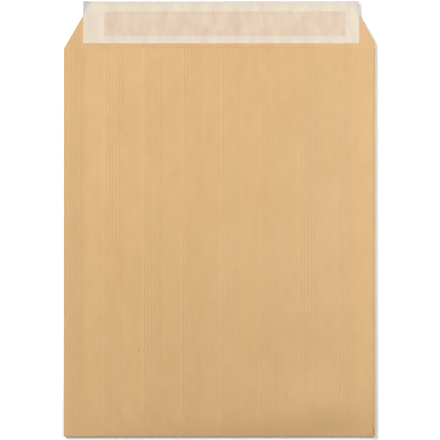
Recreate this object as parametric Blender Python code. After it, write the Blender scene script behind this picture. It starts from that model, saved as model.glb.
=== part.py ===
"""A kraft pocket envelope that lies on its front panel, with the seal flap opened out flat.

Units are metres. +Z is up, +Y runs from the bottom fold to the seal flap, and +X is to the right
as the back of the envelope is seen. The origin is under the middle of the whole outline, on the
surface that the envelope lies on.

The envelope is one sheet of ribbed kraft paper. Back panel, bottom fold, front panel and seal
flap follow each other along one path, and a side flap is folded in from each side of the front
panel and glued to the underside of the back panel. The seal flap carries a band of adhesive,
and a release liner covers the band.
"""

import math
from collections import namedtuple

import bmesh
import bpy
import numpy as np

# Paper
PAPER = 0.00016
FOLD_GAP = 0.00020  # air left inside a pressed fold
GLUE_BOND = 0.00003  # how far the glued back panel is sunk into the side flaps

# Pocket
BODY_WIDTH = 0.305
BODY_HEIGHT = 0.381
BACK_INSET = 0.0020  # from a side fold to the cut edge of the back panel
THROAT_DROP = 0.0006  # from the flap's fold to the cut edge of the back panel
SIDE_FLAP_WIDTH = 0.020
SIDE_FLAP_TAPER = 0.004
CORNER_NOTCH = 0.0030  # from the bottom fold to the lower end of a side fold
LOFT = 0.0048  # how far the back panel springs up over the middle of the pocket
LOFT_RISE = 0.011  # the length in which it rises from the bottom fold
LOFT_POWER = 2.6  # 2 makes the panel a parabola across, and more a flatter one

# Seal flap
FLAP_HEIGHT = 0.044
FLAP_TOP_WIDTH = 0.2558
FLAP_SIDE_ANGLE = math.radians(30.3)  # from the length of the envelope
FLAP_SHIFT = 0.0017  # the flap is cut a little to the right of the pocket's middle
FLAP_CORNER_RADIUS = 0.003
FLAP_SHOULDER_RADIUS = 0.007  # where a side of the flap runs into the pocket's side
SHOULDER_RUNOUT = 0.00004  # by which the shoulder's arc ends outside the front panel

# Adhesive band and release liner
LINER_WIDTH = 0.2705
LINER_HEIGHT = 0.0414
LINER_THICKNESS = 0.00007
LINER_OVERHANG = 0.0013  # past the upper edge of the flap
LINER_CORNER_RADIUS = 0.0008
ADHESIVE_WIDTH = 0.2364
ADHESIVE_HEIGHT = 0.024
ADHESIVE_THICKNESS = 0.00010
ADHESIVE_MARGIN = 0.0100  # from the upper edge of the liner to the band
ADHESIVE_SHIFT = 0.0034  # the band is laid a little to the right of the flap's middle
ADHESIVE_CORNER_RADIUS = 0.0015
LAYER_GAP = 0.00005  # between flap, band and liner

# Ribs pressed into the paper: groups of fine grooves that run the length of the sheet
RIB_GROUPS = 8
RIB_GROUP_PITCH = 0.03826
RIB_GROUP_FIRST = -0.1427
GROOVES_PER_GROUP = 5
GROOVE_PITCH = 0.0033
GROOVE_WIDTH = 0.0010
GROOVE_DEPTH = 0.00005
RIB_LEAN = math.radians(0.2)  # the blank is cut a little off the grain
RIB_EDGE_CLEARANCE = 0.00015

# Facets
FOLD_SEGMENTS = 6
CORNER_SEGMENTS = 5
RISE_STEPS = (5.0, 3.2, 2.0, 1.2, 0.7, 0.3, 0.0)  # rows over the rise, in lengths of LOFT_RISE
INNER_SPANS = 12
LAND_SPANS = 3  # between two groups of grooves
TRIM_MARGIN = 0.002

# Levels and places that follow
SIDE_FOLD_RADIUS = PAPER + FOLD_GAP / 2
SIDE_FLAP_TOP = 2 * SIDE_FOLD_RADIUS
BACK_LEVEL = SIDE_FLAP_TOP - GLUE_BOND
BOTTOM_FOLD_RADIUS = (BACK_LEVEL + PAPER) / 2
LENGTH = BODY_HEIGHT + FLAP_HEIGHT + LINER_OVERHANG
BOTTOM_Y = -LENGTH / 2
FOLD_Y = BOTTOM_Y + BODY_HEIGHT
FLAP_TOP_Y = FOLD_Y + FLAP_HEIGHT
LINER_TOP_Y = FLAP_TOP_Y + LINER_OVERHANG
BOTTOM_FOLD_Y = BOTTOM_Y + BOTTOM_FOLD_RADIUS
THROAT_Y = FOLD_Y - THROAT_DROP
FRONT_HALF = BODY_WIDTH / 2 - SIDE_FOLD_RADIUS
BACK_HALF = BODY_WIDTH / 2 - BACK_INSET
LOFT_HALF = BODY_WIDTH / 2 - SIDE_FLAP_WIDTH
ADHESIVE_BASE = PAPER + LAYER_GAP
LINER_BASE = ADHESIVE_BASE + ADHESIVE_THICKNESS + LAYER_GAP

# One row of the sheet: its inner face's y and z, the outward normal, the run along the sheet,
# the half width there, and whether its sides are those of the back panel
Row = namedtuple("Row", "y z out_y out_z run half on_back")


def clear_scene():
    """Removes whatever the scene holds."""
    for leftover in list(bpy.data.objects):
        bpy.data.objects.remove(leftover, do_unlink=True)


def material(name, colour, roughness):
    """A plain Principled material."""
    made = bpy.data.materials.new(name)
    made.use_nodes = True
    shader = made.node_tree.nodes["Principled BSDF"]
    shader.inputs["Base Color"].default_value = (*colour, 1.0)
    shader.inputs["Roughness"].default_value = roughness
    shader.inputs["Metallic"].default_value = 0.0
    return made


def add_object(name, points, faces, finish=None):
    """A named mesh object, with its faces turned outwards."""
    mesh = bpy.data.meshes.new(name)
    mesh.from_pydata(points, [], faces)
    shell = bmesh.new()
    shell.from_mesh(mesh)
    bmesh.ops.recalc_face_normals(shell, faces=shell.faces)
    shell.to_mesh(mesh)
    shell.free()
    added = bpy.data.objects.new(name, mesh)
    bpy.context.scene.collection.objects.link(added)
    if finish is not None:
        mesh.materials.append(finish)
    return added


def hide_operand(operand):
    """Marks an object that only shapes another one."""
    operand.hide_render = True
    operand.display_type = "WIRE"


def add_boolean(target, operand, operation):
    """Joins or cuts the target with the operand."""
    modifier = target.modifiers.new(operand.name, "BOOLEAN")
    modifier.operation = operation
    modifier.solver = "EXACT"
    modifier.object = operand
    hide_operand(operand)


def prism(outline, low, high):
    """Points and faces of an outline in X and Y, drawn out from one height to another."""
    count = len(outline)
    points = [(x, y, z) for z in (low, high) for x, y in outline]
    walls = [(i, (i + 1) % count, count + (i + 1) % count, count + i) for i in range(count)]
    caps = [tuple(range(count)), tuple(range(2 * count - 1, count - 1, -1))]
    return points, walls + caps


def rounded_corner(corner, before, after, radius):
    """Points of an arc that rounds a corner between the directions to two neighbours."""
    corner, before, after = (np.array(point, float) for point in (corner, before, after))
    back = (before - corner) / np.linalg.norm(before - corner)
    ahead = (after - corner) / np.linalg.norm(after - corner)
    half_angle = math.acos(float(np.clip(back @ ahead, -1, 1))) / 2
    middle = (back + ahead) / np.linalg.norm(back + ahead)
    centre = corner + middle * radius / math.sin(half_angle)
    start = corner + back * radius / math.tan(half_angle) - centre
    end = corner + ahead * radius / math.tan(half_angle) - centre
    steps = np.linspace(0, 1, CORNER_SEGMENTS + 1)[:, None]
    chords = start + (end - start) * steps
    arc = centre + chords / np.linalg.norm(chords, axis=1)[:, None] * radius
    return [tuple(point) for point in arc]


def rounded_rectangle(width, height, radius):
    """Outline of a rectangle about the origin, with rounded corners."""
    half_w, half_h = width / 2, height / 2
    corners = [(-half_w, -half_h), (half_w, -half_h), (half_w, half_h), (-half_w, half_h)]
    outline = []
    for i, corner in enumerate(corners):
        outline += rounded_corner(corner, corners[i - 1], corners[(i + 1) % 4], radius)
    return outline


def loft_height(x, y):
    """Height of the back panel over its glued level.

    It is a flattened parabola across the pocket, from the inner edge of one side flap to the
    other, times an exponential rise from the bottom fold.
    """
    across = np.clip(1 - np.abs(x / LOFT_HALF) ** LOFT_POWER, 0, None)
    along = 1 - np.exp(-np.clip(y - BOTTOM_FOLD_Y, 0, None) / LOFT_RISE)
    return LOFT * across * along


def sheet_rows():
    """The rows of the sheet's path, from the throat edge round the bottom fold to the flap's top.

    The run is the length along the sheet from the bottom fold, positive up the back.
    """
    rows = []
    for y in [THROAT_Y] + [BOTTOM_FOLD_Y + LOFT_RISE * step for step in RISE_STEPS]:
        rows.append(Row(y, BACK_LEVEL, 0.0, 1.0, y - BOTTOM_Y, BACK_HALF, True))
    inner_radius = BOTTOM_FOLD_RADIUS - PAPER
    for i in range(1, FOLD_SEGMENTS + 1):
        turn = math.pi * i / FOLD_SEGMENTS
        out_y, out_z = -math.sin(turn), math.cos(turn)
        y = BOTTOM_FOLD_Y + inner_radius * out_y
        z = BOTTOM_FOLD_RADIUS + inner_radius * out_z
        rows.append(Row(y, z, out_y, out_z, 0.0, BACK_HALF, True))
    for y in (BOTTOM_Y + CORNER_NOTCH, FOLD_Y, FLAP_TOP_Y):
        rows.append(Row(y, PAPER, 0.0, -1.0, BOTTOM_Y - y, FRONT_HALF, False))
    return Row(*np.array(rows).T[:, :, None])


def grain_slide(run):
    """How far the slanting grain has moved to the right at a run along the sheet."""
    return math.tan(RIB_LEAN) * (run - BODY_HEIGHT / 2)


def groove_groups():
    """Where the grooves of each group cross the back panel's mid height.

    A groove that would run off the side of the sheet somewhere is left out.
    """
    front_slides = (grain_slide(0.0), grain_slide(-BODY_HEIGHT - FLAP_HEIGHT))
    room = GROOVE_WIDTH / 2 + RIB_EDGE_CLEARANCE
    left = max(-BACK_HALF, -FRONT_HALF - min(front_slides)) + room
    right = min(BACK_HALF, FRONT_HALF - max(front_slides)) - room
    groups = []
    for group in range(RIB_GROUPS):
        middle = RIB_GROUP_FIRST + group * RIB_GROUP_PITCH
        first = middle - GROOVE_PITCH * (GROOVES_PER_GROUP - 1) / 2
        grooves = [first + GROOVE_PITCH * i for i in range(GROOVES_PER_GROUP)]
        groups.append([x for x in grooves if left < x < right])
    return [group for group in groups if group]


def outer_columns():
    """The outer face's columns between its two sides, and how deep each is pressed in.

    Each groove has three, and the plain land between two groups is split into spans.
    """
    groups = groove_groups()
    columns = []
    for before, after in zip(groups, groups[1:]):
        land = np.linspace(before[-1], after[0], LAND_SPANS + 1)[1:-1]
        columns += [(x, 0.0) for x in land]
    for x in (x for group in groups for x in group):
        columns.append((x - GROOVE_WIDTH / 2, 0.0))
        columns.append((x, GROOVE_DEPTH))
        columns.append((x + GROOVE_WIDTH / 2, 0.0))
    return np.array(sorted(columns)).T


def face_grid(rows, columns, depths, thickness):
    """Points of one face of the sheet, row by row, with its two sides added to the columns.

    The cut sides of the back panel slant with the grain, and so do the columns of the outer
    face, which are the grooves. Thickness is the paper's on the outer face, 0 on the inner one.
    """
    slide = grain_slide(rows.run)
    side_slide = rows.on_back * slide
    between = columns + (thickness > 0) * slide
    x = np.hstack([side_slide - rows.half, between, side_slide + rows.half])
    reach = thickness - np.hstack([0.0, depths, 0.0])
    lofted = rows.out_z == 1
    y = rows.y + rows.out_y * reach
    z = rows.z + rows.out_z * reach + lofted * loft_height(x, rows.y)
    return np.stack([x, y, z], axis=2)


def grid_faces(row_count, column_count, start):
    """Quads of a grid whose first point has the index start."""
    faces = []
    for row in range(row_count - 1):
        for column in range(column_count - 1):
            a = start + row * column_count + column
            faces.append((a, a + 1, a + column_count + 1, a + column_count))
    return faces


def long_sheet(finish):
    """Back panel, bottom fold, front panel and an untrimmed flap, as one thick bent sheet."""
    rows = sheet_rows()
    outer = face_grid(rows, *outer_columns(), PAPER)
    inner_columns = np.linspace(-LOFT_HALF, LOFT_HALF, INNER_SPANS + 1)
    inner = face_grid(rows, inner_columns, 0 * inner_columns, 0.0)
    row_count, outer_count = outer.shape[:2]
    inner_count = inner.shape[1]
    start = row_count * outer_count
    points = np.vstack([outer.reshape(-1, 3), inner.reshape(-1, 3)])
    faces = grid_faces(row_count, outer_count, 0)
    faces += grid_faces(row_count, inner_count, start)
    for row in range(row_count - 1):
        for outer_column, inner_column in ((0, 0), (outer_count - 1, inner_count - 1)):
            a = row * outer_count + outer_column
            b = start + row * inner_count + inner_column
            faces.append((a, a + outer_count, b + inner_count, b))
    for row in (0, row_count - 1):
        front = range(row * outer_count, (row + 1) * outer_count)
        back = range(start + row * inner_count, start + (row + 1) * inner_count)
        faces.append(tuple(front) + tuple(reversed(back)))
    return add_object("kraft_envelope", points.tolist(), faces, finish)


def side_flap(side):
    """A side fold with its glued flap, on the left (-1) or the right (1).

    The section is a half ring at the fold with a strip that runs inwards from its top. It is
    drawn out along Y, and its two ends slant so that the strip is shorter at its inner edge.
    """
    turns = [math.pi * i / FOLD_SEGMENTS - math.pi / 2 for i in range(FOLD_SEGMENTS + 1)]
    inner_radius = SIDE_FOLD_RADIUS - PAPER
    section = []
    for radius, angles in ((SIDE_FOLD_RADIUS, turns), (inner_radius, reversed(turns))):
        for angle in angles:
            x = FRONT_HALF + radius * math.cos(angle)
            section.append((x, SIDE_FOLD_RADIUS + radius * math.sin(angle)))
        if radius == SIDE_FOLD_RADIUS:
            section.append((LOFT_HALF, SIDE_FLAP_TOP))
            section.append((LOFT_HALF, SIDE_FLAP_TOP - PAPER))
    slant = SIDE_FLAP_TAPER / SIDE_FLAP_WIDTH
    ends = []
    for end, inward in ((BOTTOM_Y + CORNER_NOTCH, 1), (THROAT_Y, -1)):
        for x, z in section:
            y = end + inward * slant * (BODY_WIDTH / 2 - x)
            ends.append((side * x, y, z))
    count = len(section)
    faces = [(i, (i + 1) % count, count + (i + 1) % count, count + i) for i in range(count)]
    faces += [tuple(range(count)), tuple(range(count, 2 * count))]
    name = "left_side_flap" if side < 0 else "right_side_flap"
    return add_object(name, ends, faces)


def flap_side(side):
    """One side of the trimmed flap, the left (-1) or the right (1), from its foot to its top.

    A side that would run out past the front panel bends there in a rounded shoulder, which
    leaves the flap as wide as the front panel from the shoulder down to the fold.
    """
    spread = math.tan(FLAP_SIDE_ANGLE)
    middle = side * FLAP_SHIFT
    top = middle + FLAP_TOP_WIDTH / 2
    foot = (top + spread * FLAP_HEIGHT, FOLD_Y)
    edge = FRONT_HALF + SHOULDER_RUNOUT
    shoulder_y = FLAP_TOP_Y - (edge - top) / spread
    room = (shoulder_y - FOLD_Y) / math.tan(FLAP_SIDE_ANGLE / 2)
    points = [foot]
    if room > 0:
        foot = (edge, FOLD_Y)
        radius = min(FLAP_SHOULDER_RADIUS, room / 2)
        shoulder = rounded_corner((edge, shoulder_y), foot, (top, FLAP_TOP_Y), radius)
        points = [(edge + TRIM_MARGIN, shoulder[0][1])] + shoulder
    points += rounded_corner((top, FLAP_TOP_Y), points[-1], (middle, FLAP_TOP_Y), FLAP_CORNER_RADIUS)
    return [(side * x, y) for x, y in points]


def flap_trim():
    """The waste round the seal flap: a frame that is open towards the pocket."""
    left, right = flap_side(-1), flap_side(1)
    far_x = max(right[0][0], -left[0][0], BODY_WIDTH / 2) + TRIM_MARGIN
    far_y = FLAP_TOP_Y + TRIM_MARGIN
    outline = [(-far_x, far_y), (-far_x, left[0][1])] + left
    outline += right[::-1] + [(far_x, right[0][1]), (far_x, far_y)]
    return add_object("flap_trim", *prism(outline, -TRIM_MARGIN, TRIM_MARGIN))


def kraft_envelope():
    """The folded and glued envelope, as one solid."""
    envelope = long_sheet(material("kraft_paper", (0.69, 0.45, 0.21), 0.9))
    add_boolean(envelope, flap_trim(), "DIFFERENCE")
    for side in (-1, 1):
        add_boolean(envelope, side_flap(side), "UNION")
    return envelope


def adhesive_band():
    """The tacky band on the inner face of the seal flap."""
    finish = material("hot_melt_adhesive", (0.79, 0.62, 0.45), 0.4)
    outline = rounded_rectangle(ADHESIVE_WIDTH, ADHESIVE_HEIGHT, ADHESIVE_CORNER_RADIUS)
    band = add_object("adhesive_band", *prism(outline, 0.0, ADHESIVE_THICKNESS), finish)
    middle_y = LINER_TOP_Y - ADHESIVE_MARGIN - ADHESIVE_HEIGHT / 2
    band.location = (FLAP_SHIFT + ADHESIVE_SHIFT, middle_y, ADHESIVE_BASE)
    return band


def release_liner():
    """The translucent strip that covers the adhesive until the envelope is sealed."""
    finish = material("glassine", (0.84, 0.75, 0.62), 0.5)
    outline = rounded_rectangle(LINER_WIDTH, LINER_HEIGHT, LINER_CORNER_RADIUS)
    liner = add_object("release_liner", *prism(outline, 0.0, LINER_THICKNESS), finish)
    liner.location = (FLAP_SHIFT, LINER_TOP_Y - LINER_HEIGHT / 2, LINER_BASE)
    return liner


def build():
    """The whole envelope."""
    clear_scene()
    envelope = kraft_envelope()
    for piece in (adhesive_band(), release_liner()):
        piece.parent = envelope


build()
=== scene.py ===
"""Looks of the kraft pocket envelope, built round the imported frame.

Units are metres, in the frame's own axes: +Z up out of the back panel, +Y from the bottom fold to
the seal flap, +X to the right as the back is seen.
"""

import math

import bmesh
import bpy
import numpy as np
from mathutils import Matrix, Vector


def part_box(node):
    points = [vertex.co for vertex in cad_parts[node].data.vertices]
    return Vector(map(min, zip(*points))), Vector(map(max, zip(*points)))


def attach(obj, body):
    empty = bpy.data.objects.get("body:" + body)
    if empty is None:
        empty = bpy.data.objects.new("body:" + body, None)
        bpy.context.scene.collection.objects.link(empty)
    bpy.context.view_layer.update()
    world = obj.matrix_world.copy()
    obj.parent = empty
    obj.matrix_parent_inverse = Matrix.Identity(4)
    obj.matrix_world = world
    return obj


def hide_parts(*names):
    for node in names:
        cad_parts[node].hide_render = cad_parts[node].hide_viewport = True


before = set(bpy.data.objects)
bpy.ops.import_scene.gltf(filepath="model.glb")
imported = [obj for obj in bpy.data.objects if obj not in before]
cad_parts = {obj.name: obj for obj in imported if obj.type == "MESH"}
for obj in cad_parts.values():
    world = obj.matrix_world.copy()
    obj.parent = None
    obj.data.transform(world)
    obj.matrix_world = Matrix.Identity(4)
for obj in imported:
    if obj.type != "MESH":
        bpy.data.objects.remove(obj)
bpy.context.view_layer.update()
ENVELOPE_LOW, ENVELOPE_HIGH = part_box("kraft_envelope")
BAND_LOW, BAND_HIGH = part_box("adhesive_band")
LINER_LOW, LINER_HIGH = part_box("release_liner")
MM = 0.001

# The folded sheet
PAPER = 0.16 * MM
SIDE_GAP = 0.14 * MM  # air inside a side fold, which leaves its flap just under the back panel
BACK_LEVEL = 0.49 * MM
BACK_INSET = 2.0 * MM
THROAT_DROP = 0.6 * MM
SIDE_FLAP_WIDTH = 20 * MM
SIDE_FLAP_TAPER = 4 * MM
CORNER_NOTCH = {-1: 1 * MM, 1: 7 * MM}  # from the bottom fold to the start of each side fold
CORNER_INSET = 0.2 * MM  # of the ends of the bottom fold from the front panel's sides
FLARE_REACH = 7 * MM  # over which the back panel widens to the corners of the bottom fold
LOFT_POWER = 2.6
LOFT_EASE = 0.05  # softens the crease where the panel leaves the glued seam
LOFT_STEEP_SHARE = 0.18  # of the loft, reached within a few STEEP_RISE of the bottom fold
STEEP_RISE = 13 * MM
SLOW_RISE = 80 * MM
LIP_DROOP = 1.1 * MM  # the panel's free edge hangs a little over the last LIP_REACH
LIP_REACH = 50 * MM
FLAP_HEIGHT = 44 * MM
FLAP_TOP_WIDTH = 255.8 * MM
FLAP_SPREAD = math.tan(math.radians(30.3))
FLAP_SHIFT = 1.7 * MM
FLAP_CORNER = 3 * MM
SHOULDER_EASE = {-1: 0.1 * MM, 1: 0.9 * MM}  # the cutter left the right shoulder rounder
SIDE_FOLD_RADIUS = PAPER + SIDE_GAP / 2
BOTTOM_FOLD_RADIUS = (BACK_LEVEL + PAPER) / 2
HALF_WIDTH = ENVELOPE_HIGH.x
FRONT_HALF = HALF_WIDTH - SIDE_FOLD_RADIUS
BACK_HALF = HALF_WIDTH - BACK_INSET
CORNER_HALF = FRONT_HALF - CORNER_INSET
SEAM_HALF = HALF_WIDTH - SIDE_FLAP_WIDTH
BOTTOM_Y = ENVELOPE_LOW.y
BOTTOM_FOLD_Y = BOTTOM_Y + BOTTOM_FOLD_RADIUS
FLAP_TOP_Y = ENVELOPE_HIGH.y
FOLD_Y = FLAP_TOP_Y - FLAP_HEIGHT
THROAT_Y = FOLD_Y - THROAT_DROP
LOFT = ENVELOPE_HIGH.z - BACK_LEVEL - PAPER

# How the paper lies: it lifts off the table here and there, and the panel is not quite even
RIGHT_CURL = 1.9 * MM
RIGHT_REACH = 60 * MM
BOTTOM_LIFT = 1.5 * MM
BOTTOM_REACH = 80 * MM
CORNER_HUMP = 0.8 * MM  # a low wave above the bottom right corner
CORNER_HUMP_X = 100 * MM
CORNER_HUMP_WIDTH = 58 * MM
CORNER_HUMP_Y = 32 * MM  # from the bottom fold
SEAM_GAPE = 0.6 * MM  # the glue stops short of the bottom right corner, so the seam gapes there
SEAM_GAPE_WIDTH = 5 * MM
SEAM_GAPE_Y = 4.6 * MM  # from the bottom fold
SEAM_GAPE_REACH = 4.4 * MM
FLAP_SPRING_LEFT = 0.1 * MM  # the opened flap springs up a little from its fold
FLAP_SPRING_RIGHT = 1.4 * MM
FLAP_SPRING_POWER = 1.2
WAVE_HEIGHT = 0.09 * MM
WAVE_ACROSS = 31 * MM  # the length of each wave over 2π, and of the slower ones that bend them
WAVE_ACROSS_BEND = 83 * MM
WAVE_ALONG = 24 * MM
WAVE_ALONG_BEND = 60 * MM
WAVE_SLANTING = 16 * MM
FOLD_RIDGE = 0.04 * MM  # the score of the flap's fold, raised along the throat
FOLD_RIDGE_WIDTH = 1.7 * MM

# Ribs
RIB_GROUPS = 8
RIB_GROUP_PITCH = 38.26 * MM
RIB_GROUP_FIRST = -142.7 * MM
GROOVES_PER_GROUP = 5
GROOVE_PITCH = 3.3 * MM
GROOVE_HALF = 0.85 * MM
GROOVE_DEPTH = 0.115 * MM  # deeper than in the solid, so that they show in a picture
GROOVE_UNEVEN = (0.85, 1.3)  # the least and the most of that depth, drawn at random
GROOVE_SEED = 4
GROOVE_PLACES = np.array([-1.0, -0.75, -0.5, 0.0, 0.5, 0.75, 1.0])  # across it, in half widths
GROOVE_SECTION = np.array([0.0, -0.28, 0.30, 1.0, 0.30, -0.28, 0.0])  # its share of the depth there
GROOVE_FADE = 20 * MM  # the bottom fold's rollers flattened the ribs over this length
RIB_LEAN = math.tan(math.radians(0.2))
RIB_ROOM = 1.6 * MM  # kept between a groove's middle and the side of the sheet

# Rows and columns of the sheet's grid
RISE_ROWS = (0.4 * MM, 60 * MM, 22)  # above the bottom fold: the first, the last and how many
PANEL_ROWS = (68 * MM, 9 * MM, 28)  # from the bottom fold, to the throat, and how many
LIP_ROWS = np.array([5.0, 3.0, 1.6, 0.7, 0.0]) * MM  # down from the throat, and up from the fold:
SHOULDER_ROWS = np.array([0.0, 0.3, 0.8, 1.5, 2.4, 3.2, 4.0, 4.8, 5.6, 6.6, 8.0]) * MM
FLAP_ROWS = (10 * MM, 13)  # up from the flap's fold, and how many
SEAM_ROWS = 36
FLAP_CORNER_STEPS = 8
BOTTOM_FOLD_STEPS = 9
SIDE_FOLD_STEPS = 8
SIDE_FLAP_COLUMNS = 5
LAND_COLUMNS = 5  # between two groups of grooves
PAD_CORNER_STEPS = 5  # round a corner of the adhesive band and of the liner
MERGE_DISTANCE = 1e-6

# Kraft paper
CREASE_REACH = 0.9 * MM  # how far the painted shade beside a fold reaches
BOTTOM_SHADE_REACH = (12 * MM, 30 * MM)  # how far the painted shade above the bottom fold reaches, at the left and at the right;
BOTTOM_SHADE_SKEW = 1.5  # it grows darker and reaches further up towards the right
KRAFT_CLOUD = 9 * MM
KRAFT_CLOUD_STRETCH = (1.0, 0.5, 1.0)  # twice as long along the sheet
KRAFT_DRIFT = 70 * MM
KRAFT_FIBRE = 0.7 * MM
KRAFT_FIBRE_STRETCH = (1.0, 0.22, 1.0)
KRAFT_CLOUD_SHARE = 0.45  # of what makes the paper darker or lighter
KRAFT_DRIFT_SHARE = 0.3
KRAFT_FIBRE_SHARE = 0.25
KRAFT_TONE_RANGE = (0.32, 0.68)
KRAFT_RELIEF = 0.06 * MM
SHIVE_SPACING = 26 * MM
SHIVE_RADIUS = (0.312 * MM, 0.572 * MM)  # where a shive starts to fade out, and where it ends
BARK_FLECK = (-79.0 * MM, -128.9 * MM, 0.0)
BARK_RADIUS = (0.6 * MM, 1.3 * MM)

# Adhesive band
BAND_GRID = (240, 40)  # columns and rows
BAND_CORNER = 1.5 * MM
BAND_CLEARANCE = 0.01 * MM
BAND_FILM = 0.10 * MM
BAND_WANDER = 0.02  # of its long edges, as a share of half its height
BAND_WANDER_WAVES = (13 * MM, 4.7 * MM)  # each over 2π, as the film's waves are
FILM_WAVE_ACROSS = 3.1 * MM
FILM_WAVE_ACROSS_BEND = 1.7 * MM
FILM_WAVE_ALONG = 2.4 * MM
FILM_WAVE_ALONG_BEND = 9 * MM
BAND_RIM = 2.2 * MM  # the adhesive's edge, where it was laid thicker
BAND_BLOTCH = 8 * MM

# Release liner
LINER_GRID = (260, 48)  # columns and rows
LINER_CORNER = 0.8 * MM
LINER_OVER_BAND = 0.17 * MM  # from the flap's paper to the liner where the band lies between
LINER_DROP = 0.08 * MM  # beside the band, over the first LINER_DROP_REACH
LINER_DROP_REACH = 4 * MM
LINER_COCKLE = 0.03 * MM
LINER_COCKLE_WAVE = 10.5 * MM  # over 2π, as the slower one that bends it
LINER_COCKLE_BEND = 29 * MM
LINER_RIM = 5 * MM  # along the lower edge, which lifts
LINER_RIM_LIFT = 0.06 * MM
LINER_SLOPE_TOP = 0.25  # it turns up where it hangs out past the flap's top and left side,
LINER_SLOPE_SIDE = {-1: 0.25, 1: -0.2}  # and down past the right one
LINER_TURN = 0.8 * MM
RIM_SHADE_TOP = 0.55  # painted shade, a cool grey, on the liner's rim past the flap: how much at its top,
RIM_SHADE_TOP_REACH = 1.6 * MM
RIM_SHADE_SIDE = 0.85  # and how much at its sides
RIM_SHADE_SIDE_REACH = 2.7 * MM
RIM_SHADE_START = -2.4 * MM  # from the flap's slanted side to where the painted shade starts
RIM_SHADE_BLEND = 3 * MM
WETTED_EDGE = 2.6 * MM  # over which the adhesive starts to wet it
WETTED_WANDER = 2.2 * MM
WETTED_WANDER_LENGTH = 5 * MM
WETTED_STREAK = 7 * MM
DRY_HAZE = 0.76  # how much of what lies under it the liner hides
WETTED_HAZE = (0.39, 0.57)
PULP_CLOUD = 10 * MM
DRAWN_OUT = (1.0, 0.4, 1.0)  # makes streaks of a pattern, longer along Y

# Table
TABLE_HALF_SIZE = 3.0
TABLE_LEVEL = -0.05 * MM
TABLE_WHITE = (0.9, 0.9, 0.9, 1.0)  # as the envelope is lit by it
TABLE_SEEN_WHITE = (1.21, 1.21, 1.21, 1.0)  # and as the camera sees it
TABLE_NEAR = 0.3  # from the middle of the envelope to where the table's shading starts to fade
TABLE_FAR = 0.6

# Light
PURE_WHITE = (1.0, 1.0, 1.0, 1.0)
ROOM_LIGHT = 0.23
WINDOW_PLACE = (-1.87, 1.56, 1.38)
WINDOW_SIZE = 1.0
WINDOW_POWER = 82.7
SOFTBOX_PLACE = (0.52, 0.08, 0.64)
SOFTBOX_SIZE = 0.4
SOFTBOX_POWER = 2.44

# Camera and picture
PICTURE_PIXELS = 440
MM_PER_PIXEL = 0.9795
SENSOR_WIDTH = 36.0  # in mm, as Blender has it
CAMERA_HEIGHT = 2.4
CAMERA_X = 0.54 * MM
CAMERA_Y = -1.1 * MM


def linear(hex_colour):
    """An sRGB hex colour as linear red, green, blue and alpha 1."""
    channels = [int(hex_colour[i:i + 2], 16) / 255 for i in (1, 3, 5)]
    return [c / 12.92 if c <= 0.04045 else ((c + 0.055) / 1.055) ** 2.4 for c in channels] + [1.0]


def smooth_step(values):
    """0 below 0, 1 above 1, and t²(3 − 2t) between them."""
    t = np.clip(values, 0, 1)
    return t * t * (3 - 2 * t)


def bell(values):
    """1 at 0, falling to 0 at 1 and -1 as (1 + cos(π t)) / 2."""
    return (1 + np.cos(math.pi * np.clip(values, -1, 1))) / 2


# Shape of the envelope


def loft_height(x, y):
    """How far the back panel springs up over the pocket.

    Across, f = 1 − |x / seam|^2.6, eased to f² / (f + e) so that it leaves the seams without a
    crease. Along, a steep and a slow share of 1 − exp(−distance from the bottom fold / rise),
    less a parabola that droops towards the throat.
    """
    f = np.clip(1 - np.abs(x / SEAM_HALF) ** LOFT_POWER, 0, None)
    across = f * f / (f + LOFT_EASE) * (1 + LOFT_EASE)
    distance = np.clip(y - BOTTOM_FOLD_Y, 0, None)
    steep = LOFT_STEEP_SHARE * (1 - np.exp(-distance / STEEP_RISE))
    slow = (1 - LOFT_STEEP_SHARE) * (1 - np.exp(-distance / SLOW_RISE))
    droop = LIP_DROOP * np.clip((y - (THROAT_Y - LIP_REACH)) / LIP_REACH, 0, None) ** 2
    return across * (LOFT * (steep + slow) - droop)


def panel_waves(x, y):
    """Long uneven waves of the lofted panel, fading out towards the seams.

    A sum of three sines: one across and one along, each bent by a slower sine, and a slanting one.
    """
    fade = loft_height(x, y) / LOFT
    waves = 0.45 * np.sin(x / WAVE_ACROSS + 1.7 * np.sin(y / WAVE_ACROSS_BEND) + 0.4)
    waves += 0.35 * np.sin(y / WAVE_ALONG + 1.3 * np.sin(x / WAVE_ALONG_BEND) + 2.1)
    waves += 0.20 * np.sin((x + 0.8 * y) / WAVE_SLANTING + 1.1)
    return WAVE_HEIGHT * fade * waves


def table_lift(x, y):
    """How far the table side of the sheet lies off the table.

    A parabola towards the right edge and a smooth step towards the bottom one, joined as
    (a⁴ + b⁴)^¼, a bell above the bottom right corner, a bell along the flap's fold, and the
    flap's rise from that fold, which is higher at the right.
    """
    right = RIGHT_CURL * np.clip((x - (HALF_WIDTH - RIGHT_REACH)) / RIGHT_REACH, 0, None) ** 2
    bottom = BOTTOM_LIFT * smooth_step((BOTTOM_Y + BOTTOM_REACH - y) / BOTTOM_REACH)
    hump = CORNER_HUMP * bell((x - CORNER_HUMP_X) / CORNER_HUMP_WIDTH)
    hump = hump * bell((y - BOTTOM_Y) / CORNER_HUMP_Y - 1)
    twist = smooth_step((x / HALF_WIDTH + 1) / 2)
    spring = FLAP_SPRING_LEFT + (FLAP_SPRING_RIGHT - FLAP_SPRING_LEFT) * twist
    spring = spring * np.clip((y - FOLD_Y) / FLAP_HEIGHT, 0, None) ** FLAP_SPRING_POWER
    ridge = FOLD_RIDGE * bell((y - THROAT_Y) / FOLD_RIDGE_WIDTH)
    return (right ** 4 + bottom ** 4) ** 0.25 + hump + ridge + spring


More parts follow.
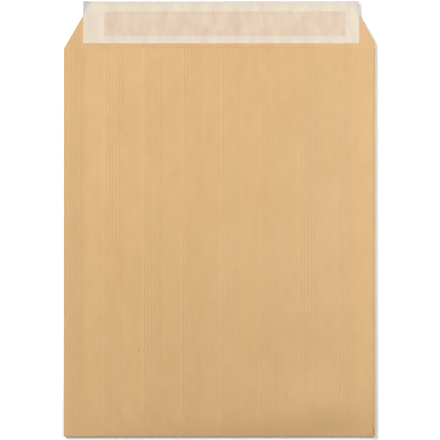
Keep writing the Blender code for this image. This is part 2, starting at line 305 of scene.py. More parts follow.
def seam_gape(x, y):
    """How far the back panel's right side stands off the seam above the bottom corner.

    A bell along the seam, and a smooth step up to the panel's side across it.
    """
    across = smooth_step((x - (BACK_HALF - SEAM_GAPE_WIDTH)) / SEAM_GAPE_WIDTH)
    return SEAM_GAPE * across * bell((y - BOTTOM_Y - SEAM_GAPE_Y) / SEAM_GAPE_REACH)


def flap_half_width(y, side):
    """Half width of the seal flap about its own middle, at a height y.

    It is a straight slanted side, an arc of the corner radius at the top, and the pocket's own
    side below the shoulder, joined by the smooth minimum (a + b − √((a − b)² + k²)) / 2.
    """
    angle = math.atan(FLAP_SPREAD)
    straight = FLAP_TOP_WIDTH / 2 + (FLAP_TOP_Y - y) * FLAP_SPREAD
    centre_x = FLAP_TOP_WIDTH / 2 + FLAP_CORNER * (math.sin(angle) - 1) / math.cos(angle)
    above = y - (FLAP_TOP_Y - FLAP_CORNER)
    arc = centre_x + np.sqrt(np.clip(FLAP_CORNER ** 2 - above ** 2, 0, None))
    trimmed = np.where(above > FLAP_CORNER * math.sin(angle), arc, straight)
    room = FRONT_HALF - side * FLAP_SHIFT
    ease = SHOULDER_EASE[side]
    return (trimmed + room - np.sqrt((trimmed - room) ** 2 + ease ** 2)) / 2


def back_rows():
    """y of the back panel's rows, from the throat down to the bottom fold."""
    rise = np.geomspace(*RISE_ROWS)
    low, high, count = PANEL_ROWS
    panel = np.linspace(BOTTOM_FOLD_Y + low, THROAT_Y - high, count)
    lip = THROAT_Y - LIP_ROWS
    return np.concatenate([[BOTTOM_FOLD_Y], BOTTOM_FOLD_Y + rise, panel, lip])[::-1]


def front_rows():
    """y of the front panel's and the seal flap's rows, from the bottom fold to the flap's top."""
    right_start = BOTTOM_Y + CORNER_NOTCH[1]
    seam = np.linspace(right_start, THROAT_Y, SEAM_ROWS)
    seam = np.append(BOTTOM_Y + CORNER_NOTCH[-1], seam)
    low, count = FLAP_ROWS
    flap = np.linspace(FOLD_Y + low, FLAP_TOP_Y - FLAP_CORNER, count)
    turns = np.linspace(0, math.pi / 2, FLAP_CORNER_STEPS + 1)[1:]
    corner = FLAP_TOP_Y - FLAP_CORNER * (1 - np.sin(turns))
    return np.concatenate([seam, FOLD_Y + SHOULDER_ROWS, flap, corner])


def sheet_rows():
    """Rows of the sheet's path: y, z, outward y and z of the inner face, the run and the sides.

    The path runs down the back panel from the throat, round the bottom fold, and up the front
    panel and the seal flap. The run is the length from the bottom fold, positive up the back.
    Rows lie closer together near the folds, the throat and the flap's corners.
    """
    back_y, front_y = back_rows(), front_rows()
    turns = np.linspace(0, math.pi, BOTTOM_FOLD_STEPS + 1)[1:]
    inner_radius = BOTTOM_FOLD_RADIUS - PAPER
    y = np.concatenate([back_y, BOTTOM_FOLD_Y - inner_radius * np.sin(turns), front_y])
    z_turns = BOTTOM_FOLD_RADIUS + inner_radius * np.cos(turns)
    z = np.concatenate([np.full(len(back_y), BACK_LEVEL), z_turns, np.full(len(front_y), PAPER)])
    out_y = np.concatenate([0 * back_y, -np.sin(turns), 0 * front_y])
    out_z = np.concatenate([0 * back_y + 1, np.cos(turns), 0 * front_y - 1])
    run = np.concatenate([back_y - BOTTOM_Y, 0 * turns, BOTTOM_Y - front_y])
    on_back = np.concatenate([0 * back_y + 1, 0 * turns + 1, 0 * front_y])
    left, right = (sheet_side(y, run, on_back, side) for side in (-1, 1))
    return {"y": y, "z": z, "out_y": out_y, "out_z": out_z, "run": run, "left": left,
            "right": right, "on_front": on_back == 0,
            "lofted": np.concatenate([0 * back_y + 1, 0 * turns, 0 * front_y])}


def grain_slide(run):
    """How far the slanting grain has moved to the right at a run along the sheet."""
    return RIB_LEAN * (run - (FOLD_Y - BOTTOM_Y) / 2)


def sheet_side(y, run, on_back, side):
    """x of one side of the sheet on each row: back panel, front panel or seal flap.

    The back panel's side is set in from the front panel's, but for the last few millimetres,
    where a smooth step takes it out to the corner of the bottom fold.
    """
    inset = smooth_step(run / FLARE_REACH)
    back = side * (CORNER_HALF + (BACK_HALF - CORNER_HALF) * inset) + grain_slide(run) * inset
    flap = FLAP_SHIFT + side * flap_half_width(y, side)
    front = np.where(y > THROAT_Y + PAPER, flap, side * FRONT_HALF)
    return np.where(on_back == 1, back, front)


def groove_middles():
    """Where each groove crosses the back panel's mid height, and how deep it is pressed."""
    group = np.arange(RIB_GROUPS)[:, None] * RIB_GROUP_PITCH
    groove = (np.arange(GROOVES_PER_GROUP) - (GROOVES_PER_GROUP - 1) / 2) * GROOVE_PITCH
    middles = (RIB_GROUP_FIRST + group + groove).ravel()
    unevenness = np.random.default_rng(GROOVE_SEED).uniform(*GROOVE_UNEVEN, len(middles))
    inside = np.abs(middles) < BACK_HALF - RIB_ROOM
    return middles[inside], GROOVE_DEPTH * unevenness[inside]


def sheet_columns():
    """Columns between the sheet's sides, and how far each is pressed in.

    A groove's section falls to its full depth in the middle, and rises to two low shoulders
    beside it where the paper is pushed up. The land between two groups has columns of its own,
    and so has the margin right of the last group.
    """
    middles, depths = groove_middles()
    grooves = (middles[:, None] + GROOVE_HALF * GROOVE_PLACES).ravel()
    pressed = (depths[:, None] * GROOVE_SECTION).ravel()
    wide = np.diff(middles) > 2 * GROOVE_PITCH
    land_start = np.append(middles[:-1][wide], middles[-1]) + GROOVE_HALF
    land_end = np.append(middles[1:][wide] - GROOVE_HALF, BACK_HALF)
    lands = np.linspace(land_start, land_end, LAND_COLUMNS + 2)[1:-1].ravel()
    across = np.concatenate([grooves, lands])
    pressed = np.concatenate([pressed, 0 * lands])
    order = np.argsort(across)
    return across[order], pressed[order]


def press_marks(rows):
    """How deep each point between the sheet's sides is pressed: fades out at the bottom fold."""
    pressed = np.hstack([0.0, sheet_columns()[1], 0.0])
    return smooth_step(np.abs(rows["run"]) / GROOVE_FADE)[:, None] * pressed


def main_faces(rows):
    """Outer and inner points of the sheet between its sides, row by row.

    Outer point = inner point + outward normal × (paper − groove). Columns slant with the grain
    and are held inside the sheet's two sides.
    """
    across, pressed = sheet_columns()[0], press_marks(rows)
    left, right = rows["left"][:, None], rows["right"][:, None]
    between = np.clip(across + grain_slide(rows["run"])[:, None], left, right)
    x = np.hstack([left, between, right])
    faces = []
    for reach in (PAPER - pressed, 0 * pressed):
        y = rows["y"][:, None] + rows["out_y"][:, None] * reach
        z = rows["z"][:, None] + rows["out_z"][:, None] * reach
        sprung = loft_height(x, y) + panel_waves(x, y) + seam_gape(x, y)
        z = z + rows["lofted"][:, None] * sprung
        faces.append(np.stack([x, y, z + table_lift(x, y)], axis=2))
    return faces


def side_flap_faces(rows, side):
    """Outer and inner points of a side fold and the flap that it folds in, row by row.

    The section is a half circle about the fold's middle and then a straight strip. The ends slant:
    y = start + (row's share of the seam) × (end − start), where start and end move inwards with
    the distance from the fold.
    """
    turns = np.linspace(-math.pi / 2, math.pi / 2, SIDE_FOLD_STEPS + 1)[1:]
    beyond = np.linspace(FRONT_HALF, SEAM_HALF, SIDE_FLAP_COLUMNS + 1)[1:]
    strip = np.concatenate([[FRONT_HALF - CREASE_REACH], beyond])
    start = BOTTOM_Y + CORNER_NOTCH[side]
    share = np.clip((rows["y"] - start) / (THROAT_Y - start), 0, 1)[:, None]
    faces = []
    for radius in (SIDE_FOLD_RADIUS, SIDE_FOLD_RADIUS - PAPER):
        x = np.concatenate([FRONT_HALF + radius * np.cos(turns), strip])
        z = SIDE_FOLD_RADIUS + radius * np.concatenate([np.sin(turns), 0 * strip + 1])
        drift = SIDE_FLAP_TAPER / SIDE_FLAP_WIDTH * (HALF_WIDTH - x)
        y = start + drift + share * (THROAT_Y - start - 2 * drift)
        x = np.broadcast_to(side * x, y.shape)
        faces.append(np.stack([x, y, z + table_lift(x, y)], axis=2))
    return faces


def side_folded(rows, side):
    """Which strips between two rows carry a side flap: those of the front panel past its notch."""
    slack = PAPER / 10
    low, high = BOTTOM_Y + CORNER_NOTCH[side] - slack, THROAT_Y + slack
    folded = rows["on_front"] & (rows["y"] >= low) & (rows["y"] <= high)
    return (folded[:-1] & folded[1:])[:, None]


def thick_sheet(outer, inner, present):
    """Points and faces of a closed sheet from two grids of points and a mask of its squares.

    The outer squares, the inner squares turned round, and a wall under every edge that only one
    square uses.
    """
    row_count, column_count = outer.shape[:2]
    index = np.arange(row_count * column_count).reshape(row_count, column_count)
    squares = np.stack([index[:-1, :-1], index[1:, :-1], index[1:, 1:], index[:-1, 1:]], axis=2)
    squares = squares[present]
    edges = np.concatenate([squares[:, [i, (i + 1) % 4]] for i in range(4)])
    ends = np.sort(edges, axis=1)
    _, first, uses = np.unique(ends, axis=0, return_index=True, return_counts=True)
    rim = edges[first[uses == 1]]
    shift = index.size
    walls = np.stack([rim[:, 1], rim[:, 0], rim[:, 0] + shift, rim[:, 1] + shift], axis=1)
    points = np.concatenate([outer.reshape(-1, 3), inner.reshape(-1, 3)])
    return points, np.concatenate([squares, squares[:, ::-1] + shift, walls])


def add_mesh(name, points, faces, finish, marks, sharp_degrees=30):
    """A smooth piece from the points that faces use, doubles merged and faces turned outwards.

    Marks maps the name of an attribute to its value at each point.
    """
    used, corners = np.unique(faces, return_inverse=True)
    mesh = bpy.data.meshes.new(name)
    mesh.from_pydata(points[used], [], corners.reshape(faces.shape).tolist())
    for mark, values in marks.items():
        mesh.attributes.new(mark, "FLOAT", "POINT").data.foreach_set("value", values[used])
    shell = bmesh.new()
    shell.from_mesh(mesh)
    bmesh.ops.remove_doubles(shell, verts=shell.verts, dist=MERGE_DISTANCE)
    bmesh.ops.recalc_face_normals(shell, faces=shell.faces)
    shell.to_mesh(mesh)
    shell.free()
    mesh.shade_smooth()
    mesh.set_sharp_from_angle(angle=math.radians(sharp_degrees))
    mesh.materials.append(finish)
    piece = bpy.data.objects.new(name, mesh)
    bpy.context.scene.collection.objects.link(piece)
    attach(piece, "root")
    return piece


def sheet_marks(rows, outer, fold_columns):
    """What the paper's colour needs to know at each point, first outside and then inside.

    Pressed is the groove's depth as a share of the usual one, and the colour paints shade there.
    The fold shade mark is exp(−distance from the bottom fold / reach), and 1 round the side folds,
    for painted shade along the folds. The bottom shade mark is exp(−(run / reach)²), and both it
    and its reach grow towards the right, for painted shade above the bottom fold. Inner face is 1
    inside the folded sheet, which the colour lightens as painted light.
    """
    plain = np.zeros((outer.shape[0], fold_columns))
    pressed = np.hstack([plain, press_marks(rows) / GROOVE_DEPTH, plain])
    fold_shade = np.exp(-np.abs(rows["run"]) / CREASE_REACH)[:, None] + np.zeros(outer.shape[:2])
    fold_shade[:, fold_columns - SIDE_FOLD_STEPS:fold_columns] = 1.0
    fold_shade[:, -fold_columns:SIDE_FOLD_STEPS - fold_columns] = 1.0
    across = smooth_step((outer[:, :, 0] / HALF_WIDTH + 1) / 2) ** BOTTOM_SHADE_SKEW
    reach = BOTTOM_SHADE_REACH[0] + (BOTTOM_SHADE_REACH[1] - BOTTOM_SHADE_REACH[0]) * across
    bottom_shade = across * np.exp(-(rows["run"][:, None] / reach) ** 2)
    marks = {"pressed": pressed, "fold_shade": fold_shade, "bottom_shade": bottom_shade}
    marks = {mark: np.tile(values.ravel(), 2) for mark, values in marks.items()}
    marks["inner_face"] = np.repeat([0.0, 1.0], fold_shade.size)
    return marks


def folded_envelope(finish):
    """The whole blank folded up: back, front, seal flap and the two side flaps in one sheet."""
    rows = sheet_rows()
    mains = main_faces(rows)
    lefts = [grid[:, ::-1] for grid in side_flap_faces(rows, -1)]
    rights = side_flap_faces(rows, 1)
    outer, inner = (np.concatenate(blocks, axis=1) for blocks in zip(lefts, mains, rights))
    fold_columns = lefts[0].shape[1]
    present = np.ones((outer.shape[0] - 1, outer.shape[1] - 1), bool)
    present[:, :fold_columns] = side_folded(rows, -1)
    present[:, -fold_columns:] = side_folded(rows, 1)
    points, faces = thick_sheet(outer, inner, present)
    marks = sheet_marks(rows, outer, fold_columns)
    piece = add_mesh("folded_kraft_sheet", points, faces, finish, marks)
    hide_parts("kraft_envelope")


# Adhesive band and release liner


def closed_pad(x, y, low, high):
    """Points and faces of a closed pad from grids of x, y and its lower and upper height."""
    top = np.stack([x, y, high], axis=2)
    under = np.stack([x, y, low], axis=2)
    present = np.ones((x.shape[0] - 1, x.shape[1] - 1), bool)
    return thick_sheet(top, under, present)


def rounded_grid(low, high, columns, rows, radius):
    """Grids of x and y over a rectangle whose corners are rounded.

    The half width at a height y is the rectangle's, less r − √(r² − d²) where y is within r of
    the top or bottom and d is how far it is past the corner's centre.
    """
    bend = radius * (1 - np.cos(np.linspace(0, math.pi / 2, PAD_CORNER_STEPS + 1)))
    straight = np.linspace(low.y + radius, high.y - radius, rows)
    y = np.concatenate([low.y + bend[:-1], straight, high.y - bend[-2::-1]])
    past = np.clip(np.maximum(low.y + radius - y, y - (high.y - radius)), 0, radius)
    half = (high.x - low.x) / 2 - (radius - np.sqrt(radius ** 2 - past ** 2))
    middle = (low.x + high.x) / 2
    x = middle + half[:, None] * np.linspace(-1, 1, columns)
    return x, np.broadcast_to(y[:, None], x.shape)


def adhesive(finish):
    """The band of adhesive: an uneven film with long edges that wander.

    The edges wander as sin · cos of x over two lengths. The film's height is a base and two
    sines of 15 to 20 mm, bent by each other's direction. Its rim mark is exp(−distance from the
    edge / reach).
    """
    x, y = rounded_grid(BAND_LOW, BAND_HIGH, *BAND_GRID, BAND_CORNER)
    middle = (BAND_LOW.y + BAND_HIGH.y) / 2
    slow, quick = BAND_WANDER_WAVES
    spread = 1 + BAND_WANDER * np.sin(x / slow) * np.cos(x / quick)
    y = middle + (y - middle) * spread
    low = PAPER + BAND_CLEARANCE + table_lift(x, y)
    across = np.sin(x / FILM_WAVE_ACROSS + np.sin(y / FILM_WAVE_ACROSS_BEND))
    along = np.sin(y / FILM_WAVE_ALONG + x / FILM_WAVE_ALONG_BEND)
    high = low + BAND_FILM * (0.8 + 0.1 * across + 0.1 * along)
    points, faces = closed_pad(x, y, low, high)
    inside_x = np.minimum(x - BAND_LOW.x, BAND_HIGH.x - x)
    inside_y = np.minimum(y - BAND_LOW.y, BAND_HIGH.y - y)
    rim = np.exp(-np.clip(np.minimum(inside_x, inside_y), 0, None) / BAND_RIM)
    marks = {"rim": np.tile(rim.ravel(), 2)}
    piece = add_mesh("hot_melt_band", points, faces, finish, marks, sharp_degrees=60)
    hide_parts("adhesive_band")


def past_flap(x, y):
    """How far each point lies past the flap's top edge, and past the nearer slanted side."""
    top = y - FLAP_TOP_Y
    side = np.abs(x - FLAP_SHIFT) - (FLAP_TOP_WIDTH / 2 - top * FLAP_SPREAD)
    return top, side * math.cos(math.atan(FLAP_SPREAD))


def liner_rim_shade(x, y):
    """How much painted shade, a cool grey, the liner's rim gets past the flap.

    It is exp(−distance from the rim / reach) for the top and for the sides, and at the sides a
    smooth step lets it start at the flap's slanted side.
    """
    from_top = LINER_HIGH.y - y
    from_side = (LINER_HIGH.x - LINER_LOW.x) / 2 - np.abs(x - (LINER_HIGH.x + LINER_LOW.x) / 2)
    past_side = smooth_step((past_flap(x, y)[1] - RIM_SHADE_START) / RIM_SHADE_BLEND)
    side = RIM_SHADE_SIDE * np.exp(-from_side / RIM_SHADE_SIDE_REACH) * past_side
    return np.clip(RIM_SHADE_TOP * np.exp(-from_top / RIM_SHADE_TOP_REACH) + side, 0, 1)


def liner_lie(x, y):
    """Height of the liner's underside: over the band, eased down beside it, a little cockled.

    The cockle is a sine along the liner, bent by a slower one and stronger at the lower rim, which
    lifts as the square of the distance past its own line. Past the flap's top and slanted sides the
    liner turns up or down to a slope: height = slope × (√(d² + turn²) − turn).
    """
    past_x = np.maximum(BAND_LOW.x - x, x - BAND_HIGH.x)
    past_y = np.maximum(BAND_LOW.y - y, y - BAND_HIGH.y)
    beside = smooth_step(np.maximum(past_x, past_y) / LINER_DROP_REACH)
    lower_rim = np.clip((LINER_LOW.y + LINER_RIM - y) / LINER_RIM, 0, 1) ** 2
    cockle = np.sin(x / LINER_COCKLE_WAVE + 1.2 * np.sin(x / LINER_COCKLE_BEND))
    cockle = cockle * (0.4 + lower_rim)
    lie = PAPER + LINER_OVER_BAND - LINER_DROP * beside + LINER_COCKLE * cockle
    lie = lie + LINER_RIM_LIFT * lower_rim
    side_slope = np.where(x < FLAP_SHIFT, LINER_SLOPE_SIDE[-1], LINER_SLOPE_SIDE[1])
    for slope, past in zip((LINER_SLOPE_TOP, side_slope), past_flap(x, y)):
        lie = lie + slope * (np.hypot(np.clip(past, 0, None), LINER_TURN) - LINER_TURN)
    return lie + table_lift(x, y)


def liner(finish):
    """The release liner: a thin sheet that follows what lies under it."""
    x, y = rounded_grid(LINER_LOW, LINER_HIGH, *LINER_GRID, LINER_CORNER)
    low = liner_lie(x, y)
    points, faces = closed_pad(x, y, low, low + LINER_HIGH.z - LINER_LOW.z)
    marks = {"rim_shade": np.tile(liner_rim_shade(x, y).ravel(), 2)}
    piece = add_mesh("glassine_liner", points, faces, finish, marks)
    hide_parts("release_liner")


# Materials


def add_node(tree, kind, inputs=None, **settings):
    """Adds a node. Inputs map a socket to its value, or to the output socket that feeds it."""
    node = tree.nodes.new(kind)
    for name, value in settings.items():
        setattr(node, name, value)
    for socket, value in (inputs or {}).items():
        if isinstance(value, bpy.types.NodeSocket):
            tree.links.new(value, node.inputs[socket])
        else:
            node.inputs[socket].default_value = value
    return node


def new_material(name):
    """An empty node material: its tree and its Principled shader."""
    made = bpy.data.materials.new(name)
    made.use_nodes = True
    return made, made.node_tree, made.node_tree.nodes["Principled BSDF"]


def kraft_formation(tree, place):
    """How thick the fibres lie: clouds of them, and single ones.

    Real fibres are a few hundredths of a millimetre wide, and are drawn coarser, so that they show.
    """
    along = add_node(tree, "ShaderNodeMapping", {"Vector": place, "Scale": KRAFT_CLOUD_STRETCH})
    clouds = add_node(tree, "ShaderNodeTexNoise", {
        "Vector": along.outputs[0], "Scale": 1 / KRAFT_CLOUD, "Detail": 4.0, "Roughness": 0.6})
    grain = add_node(tree, "ShaderNodeMapping", {"Vector": place, "Scale": KRAFT_FIBRE_STRETCH})
    fibres = add_node(tree, "ShaderNodeTexNoise", {
        "Vector": grain.outputs[0], "Scale": 1 / KRAFT_FIBRE, "Detail": 3.0, "Roughness": 0.65})
    return clouds.outputs["Fac"], fibres.outputs["Fac"]


def kraft_tone(tree, place, clouds, fibres):
    """The paper's brown, darker or lighter by its clouds, a slow drift and its fibres."""
    drift = add_node(tree, "ShaderNodeTexNoise", {
        "Vector": place, "Scale": 1 / KRAFT_DRIFT, "Detail": 2.0})
    tone = add_node(tree, "ShaderNodeMath", {
        0: clouds, 1: KRAFT_CLOUD_SHARE}, operation="MULTIPLY")
    tone = add_node(tree, "ShaderNodeMath", {
        0: drift.outputs["Fac"], 1: KRAFT_DRIFT_SHARE, 2: tone.outputs[0]},
        operation="MULTIPLY_ADD")
    tone = add_node(tree, "ShaderNodeMath", {
        0: fibres, 1: KRAFT_FIBRE_SHARE, 2: tone.outputs[0]}, operation="MULTIPLY_ADD")
    share = add_node(tree, "ShaderNodeMapRange", {
        "Value": tone.outputs[0], "From Min": KRAFT_TONE_RANGE[0],
        "From Max": KRAFT_TONE_RANGE[1]})
    paper = add_node(tree, "ShaderNodeMix", {
        "Factor": share.outputs[0], "A": linear("#D7AD74"), "B": linear("#E1B881")},
        data_type="RGBA")
    return paper.outputs[2]


def marked(tree, base, mark, amount, colour):
    """A base colour moved towards another one by an amount, where the piece carries a mark."""
    carried = add_node(tree, "ShaderNodeAttribute", attribute_name=mark)
    much = add_node(tree, "ShaderNodeMath", {
        0: carried.outputs["Fac"], 1: amount}, operation="MULTIPLY", use_clamp=True)
    mixed = add_node(tree, "ShaderNodeMix", {
        "Factor": much.outputs[0], "A": base, "B": linear(colour)}, data_type="RGBA")
    return mixed.outputs[2]


def flecked_kraft(tree, place, paper):
    """The paper's colour with a few dark shives in it, and one faint fleck of bark."""
    shives = add_node(tree, "ShaderNodeTexVoronoi", {
        "Vector": place, "Scale": 1 / SHIVE_SPACING, "Randomness": 1.0})
    off_shive = add_node(tree, "ShaderNodeMapRange", {
        "Value": shives.outputs["Distance"], "From Min": SHIVE_RADIUS[0] / SHIVE_SPACING,
        "From Max": SHIVE_RADIUS[1] / SHIVE_SPACING})
    flecked = add_node(tree, "ShaderNodeMix", {
        "Factor": off_shive.outputs[0], "A": linear("#B58D5E"), "B": paper}, data_type="RGBA")
    flat = add_node(tree, "ShaderNodeMapping", {"Vector": place, "Scale": (1.0, 1.0, 0.0)})
    away = add_node(tree, "ShaderNodeVectorMath", {
        0: flat.outputs[0], 1: BARK_FLECK}, operation="DISTANCE")
    off_bark = add_node(tree, "ShaderNodeMapRange", {
        "Value": away.outputs["Value"], "From Min": BARK_RADIUS[0], "From Max": BARK_RADIUS[1]})
    flecked = add_node(tree, "ShaderNodeMix", {
        "Factor": off_bark.outputs[0], "A": linear("#CB9A5F"), "B": flecked.outputs[2]},
        data_type="RGBA")
    return flecked.outputs[2]


def ribbed_kraft():
    """Unbleached sulphate kraft, machine finished: matt, brown, with cloudy fibre formation.

    The eye gets faint clouds of 4 to 70 mm where fibres lie thicker, short fibres along the
    sheet, a few dark shives and one fleck of bark, painted shade in the grooves, painted light on
    the warmer inner face, painted shade above the bottom fold that grows towards the right,
    painted shade along the folds, and a dry surface with a low sheen.
    """
    made, tree, shader = new_material("machine_finished_kraft")
    place = add_node(tree, "ShaderNodeTexCoord").outputs["Object"]
    clouds, fibres = kraft_formation(tree, place)
    paper = kraft_tone(tree, place, clouds, fibres)
    # painted light: the inner face, seen on the flap, is coloured lighter to make up for the shade
    # it gets
    paper = marked(tree, paper, "inner_face", 0.14, "#F0C4A2")
    # painted shade: the paper is coloured darker in the grooves
    paper = marked(tree, paper, "pressed", 0.32, "#C8975C")
    # painted shade: darker above the bottom fold, more so towards the right
    paper = marked(tree, paper, "bottom_shade", 0.6, "#C8A16A")
    paper = flecked_kraft(tree, place, paper)
    # painted shade: greyer and darker along the bottom fold and round the side folds
    paper = marked(tree, paper, "fold_shade", 0.5, "#C6AC8C")
    tree.links.new(paper, shader.inputs["Base Color"])
    relief = add_node(tree, "ShaderNodeMath", {
        0: fibres, 1: 0.4, 2: clouds}, operation="MULTIPLY_ADD")
    bump = add_node(tree, "ShaderNodeBump", {
        "Height": relief.outputs[0], "Strength": 0.25, "Distance": KRAFT_RELIEF})
    tree.links.new(bump.outputs[0], shader.inputs["Normal"])
    shader.inputs["Roughness"].default_value = 0.52
    shader.inputs["IOR"].default_value = 1.5
    shader.inputs["Specular IOR Level"].default_value = 0.85
    return made


def hot_melt():
    """Hot-melt rubber adhesive: amber, tacky and glossy, laid as an uneven film.

    The eye gets paler and deeper blotches where the film is thinner and thicker, and a deeper rim.
    """
    made, tree, shader = new_material("hot_melt_rubber_adhesive")
    place = add_node(tree, "ShaderNodeTexCoord").outputs["Object"]
    drawn = add_node(tree, "ShaderNodeMapping", {"Vector": place, "Scale": DRAWN_OUT})
    blotch = add_node(tree, "ShaderNodeTexNoise", {
        "Vector": drawn.outputs[0], "Scale": 1 / BAND_BLOTCH, "Detail": 2.0})
    share = add_node(tree, "ShaderNodeMapRange", {
        "Value": blotch.outputs["Fac"], "From Min": 0.35, "From Max": 0.65})
    film = add_node(tree, "ShaderNodeMix", {
        "Factor": share.outputs[0], "A": linear("#E6B67C"), "B": linear("#FAD8AE")},
        data_type="RGBA")
    film = marked(tree, film.outputs[2], "rim", 0.6, "#CFA468")
    tree.links.new(film, shader.inputs["Base Color"])
    shader.inputs["Roughness"].default_value = 0.35
    shader.inputs["IOR"].default_value = 1.5
    return made


def inside_band(tree, place):
    """How far a point lies inside the adhesive band.

    Half the band's size − |place − its middle|, for x or for y, whichever is less.
    """
    parts = add_node(tree, "ShaderNodeSeparateXYZ", {0: place})
    middle = (BAND_LOW + BAND_HIGH) / 2
    half = (BAND_HIGH - BAND_LOW) / 2
    inside = []
    for axis in (0, 1):
        away = add_node(tree, "ShaderNodeMath", {
            0: parts.outputs[axis], 1: middle[axis]}, operation="SUBTRACT")
        away = add_node(tree, "ShaderNodeMath", {0: away.outputs[0]}, operation="ABSOLUTE")
        away = add_node(tree, "ShaderNodeMath", {
            0: half[axis], 1: away.outputs[0]}, operation="SUBTRACT")
        inside.append(away.outputs[0])
    depth = add_node(tree, "ShaderNodeMath", {0: inside[0], 1: inside[1]}, operation="MINIMUM")
    return depth.outputs[0]


def glassine_haze(tree, place, drawn):
    """How much of what lies under the liner it hides: less, and in streaks, where it is wetted."""
    edge = add_node(tree, "ShaderNodeTexNoise", {
        "Vector": place, "Scale": 1 / WETTED_WANDER_LENGTH, "Detail": 3.0, "Roughness": 0.5})
    wander = add_node(tree, "ShaderNodeMath", {
        0: edge.outputs["Fac"], 1: WETTED_WANDER, 2: inside_band(tree, place)},
        operation="MULTIPLY_ADD")
    wetted = add_node(tree, "ShaderNodeMapRange", {
        "Value": wander.outputs[0], "From Max": WETTED_EDGE}, interpolation_type="SMOOTHSTEP")
    streaks = add_node(tree, "ShaderNodeTexNoise", {
        "Vector": drawn, "Scale": 1 / WETTED_STREAK, "Detail": 3.0, "Roughness": 0.5})
    mottle = add_node(tree, "ShaderNodeMapRange", {
        "Value": streaks.outputs["Fac"], "From Min": 0.3, "From Max": 0.7,
        "To Min": WETTED_HAZE[0], "To Max": WETTED_HAZE[1]})
    haze = add_node(tree, "ShaderNodeMix", {
        "Factor": wetted.outputs[0], "A": DRY_HAZE, "B": mottle.outputs[0]}, data_type="FLOAT")
    return haze.outputs[0]


def glassine():
    """Silicone-coated glassine: thin, hazy and satin, clearer where the adhesive wets it.

    The paper hides most of what lies under it. Over the band the haze falls to a half, in
    streaks of about 7 mm where air is trapped between adhesive and liner. The pulp drifts between
    a pinker and a yellower white, and its rim past the flap gets a cool grey of painted shade.
    """
    made, tree, shader = new_material("silicone_coated_glassine")
    place = add_node(tree, "ShaderNodeTexCoord").outputs["Object"]
    drawn = add_node(tree, "ShaderNodeMapping", {"Vector": place, "Scale": DRAWN_OUT}).outputs[0]
    tree.links.new(glassine_haze(tree, place, drawn), shader.inputs["Alpha"])
    tint = add_node(tree, "ShaderNodeTexNoise", {
        "Vector": drawn, "Scale": 1 / PULP_CLOUD, "Detail": 3.0, "Roughness": 0.6})
    warmth = add_node(tree, "ShaderNodeMapRange", {
        "Value": tint.outputs["Fac"], "From Min": 0.35, "From Max": 0.65})
    pulp = add_node(tree, "ShaderNodeMix", {
        "Factor": warmth.outputs[0], "A": linear("#F6E5D5"), "B": linear("#FCF1DB")},
        data_type="RGBA")
    # painted shade: the liner's rim past the flap is coloured a cool grey
    pulp = marked(tree, pulp.outputs[2], "rim_shade", 1.0, "#D8DADD")
    tree.links.new(pulp, shader.inputs["Base Color"])
    shader.inputs["Roughness"].default_value = 0.5
    shader.inputs["IOR"].default_value = 1.4
    return made


def white_table():
    """A matt white table top, which the camera sees a little brighter than it lights things.

    It is white wherever no shadow falls, and its shadows keep their depth. Well past the
    envelope, where the light falls off, it is plain white to the camera.
    """
    made, tree, shader = new_material("matt_white_table")
    path = add_node(tree, "ShaderNodeLightPath")
    seen = add_node(tree, "ShaderNodeMath", {
        0: path.outputs["Is Camera Ray"], 1: path.outputs["Is Glossy Ray"]}, operation="MAXIMUM")
    seen = add_node(tree, "ShaderNodeMath", {
        0: seen.outputs[0], 1: path.outputs["Is Transmission Ray"]}, operation="MAXIMUM")
    colour = add_node(tree, "ShaderNodeMix", {
        "Factor": seen.outputs[0], "A": TABLE_WHITE, "B": TABLE_SEEN_WHITE}, data_type="RGBA")
    tree.links.new(colour.outputs[2], shader.inputs["Base Color"])
    shader.inputs["Roughness"].default_value = 0.9
    shader.inputs["Specular IOR Level"].default_value = 0.0
    place = add_node(tree, "ShaderNodeTexCoord").outputs["Object"]
    away = add_node(tree, "ShaderNodeVectorMath", {0: place}, operation="LENGTH")
    far = add_node(tree, "ShaderNodeMapRange", {
        "Value": away.outputs["Value"], "From Min": TABLE_NEAR, "From Max": TABLE_FAR},
        interpolation_type="SMOOTHSTEP")
    far = add_node(tree, "ShaderNodeMath", {
        0: far.outputs[0], 1: seen.outputs[0]}, operation="MULTIPLY")
    white = add_node(tree, "ShaderNodeEmission", {"Color": PURE_WHITE, "Strength": 1.0})
    table = add_node(tree, "ShaderNodeMixShader", {
        0: far.outputs[0], 1: shader.outputs[0], 2: white.outputs[0]})
    tree.links.new(table.outputs[0], tree.nodes["Material Output"].inputs["Surface"])
    return made


# Stage


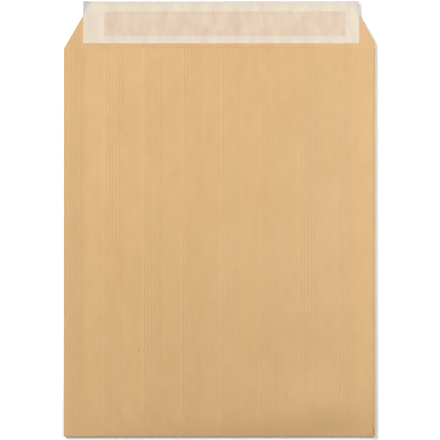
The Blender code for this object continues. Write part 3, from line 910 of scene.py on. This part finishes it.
def add_table():
    """The table top that the envelope lies on."""
    mesh = bpy.data.meshes.new("table")
    signs = ((-1, -1), (1, -1), (1, 1), (-1, 1))
    corners = [(x * TABLE_HALF_SIZE, y * TABLE_HALF_SIZE, TABLE_LEVEL) for x, y in signs]
    mesh.from_pydata(corners, [], [(0, 1, 2, 3)])
    mesh.materials.append(white_table())
    table = bpy.data.objects.new("table", mesh)
    bpy.context.scene.collection.objects.link(table)


def add_area_light(name, place, size, power):
    """A square soft light that faces the middle of the envelope."""
    lamp = bpy.data.lights.new(name, "AREA")
    lamp.size = size
    lamp.energy = power
    light = bpy.data.objects.new(name, lamp)
    light.location = place
    light.rotation_euler = (-Vector(place)).to_track_quat("-Z", "Y").to_euler()
    bpy.context.scene.collection.objects.link(light)


def add_world():
    """Even white light from all round, which the camera sees as white."""
    world = bpy.data.worlds.new("white_room")
    world.use_nodes = True
    tree = world.node_tree
    background = tree.nodes["Background"]
    path = add_node(tree, "ShaderNodeLightPath")
    level = add_node(tree, "ShaderNodeMapRange", {
        "Value": path.outputs["Is Camera Ray"], "To Min": ROOM_LIGHT, "To Max": 1.0})
    tree.links.new(level.outputs[0], background.inputs["Strength"])
    background.inputs["Color"].default_value = PURE_WHITE
    bpy.context.scene.world = world


def add_camera():
    """A long lens straight above, framed as the photograph is."""
    lens = bpy.data.cameras.new("camera")
    lens.sensor_width = SENSOR_WIDTH
    lens.lens = SENSOR_WIDTH * CAMERA_HEIGHT / (PICTURE_PIXELS * MM_PER_PIXEL * MM)
    camera = bpy.data.objects.new("camera", lens)
    camera.location = (CAMERA_X, CAMERA_Y, CAMERA_HEIGHT)
    bpy.context.scene.collection.objects.link(camera)
    bpy.context.scene.camera = camera


folded_envelope(ribbed_kraft())
adhesive(hot_melt())
liner(glassine())
add_table()
add_world()
add_area_light("window", WINDOW_PLACE, WINDOW_SIZE, WINDOW_POWER)
add_area_light("side_softbox", SOFTBOX_PLACE, SOFTBOX_SIZE, SOFTBOX_POWER)
add_camera()
bpy.context.scene.view_settings.view_transform = "Standard"
